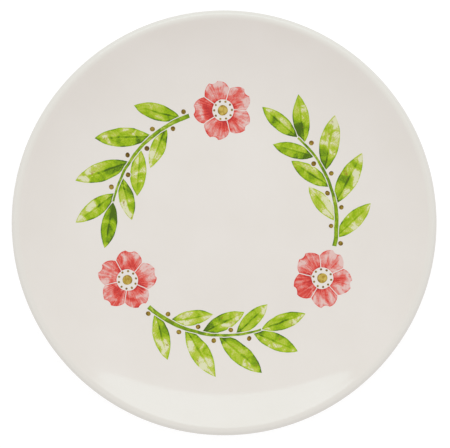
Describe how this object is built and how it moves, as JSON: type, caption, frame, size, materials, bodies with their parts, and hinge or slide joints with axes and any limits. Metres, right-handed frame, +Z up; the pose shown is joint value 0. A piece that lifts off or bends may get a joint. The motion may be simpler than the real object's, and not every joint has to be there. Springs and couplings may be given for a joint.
{
  "type": "dessert plate",
  "caption": "Round coupe dessert plate: level well, curved wall, rounded lip and foot ring in glossy glazed ceramic, with a printed garland of leaf sprigs and blossoms.",
  "frame": {"origin": "centre of the standing face, on the surface that the plate stands on", "axes": "+Z up along the plate's axis, +Y towards the top of the picture, +X to its right"},
  "size_m": [0.21, 0.21, 0.023],
  "materials": {
    "biscuit": "matt unglazed biscuit",
    "glaze": "glossy warm white glaze",
    "stem_print": "glossy fused ceramic colour",
    "leaf_print": "glossy fused ceramic colour",
    "bud_print": "glossy fused ceramic colour",
    "petal_print": "glossy fused ceramic colour",
    "eye_print": "glossy fused ceramic colour"
  },
  "bodies": {
    "root": {"biscuit_body": "biscuit", "glaze_coat": "glaze", "recess_glaze": "glaze", "sprig_1_stem": "stem_print", "sprig_1_leaves": "leaf_print", "sprig_1_buds": "bud_print", "blossom_1_petals": "petal_print", "blossom_1_eye": "eye_print", "sprig_2_stem": "stem_print", "sprig_2_leaves": "leaf_print", "sprig_2_buds": "bud_print", "blossom_2_petals": "petal_print", "blossom_2_eye": "eye_print", "sprig_3_stem": "stem_print", "sprig_3_leaves": "leaf_print", "sprig_3_buds": "bud_print", "blossom_3_petals": "petal_print", "blossom_3_eye": "eye_print"}
  },
  "joints": []
}
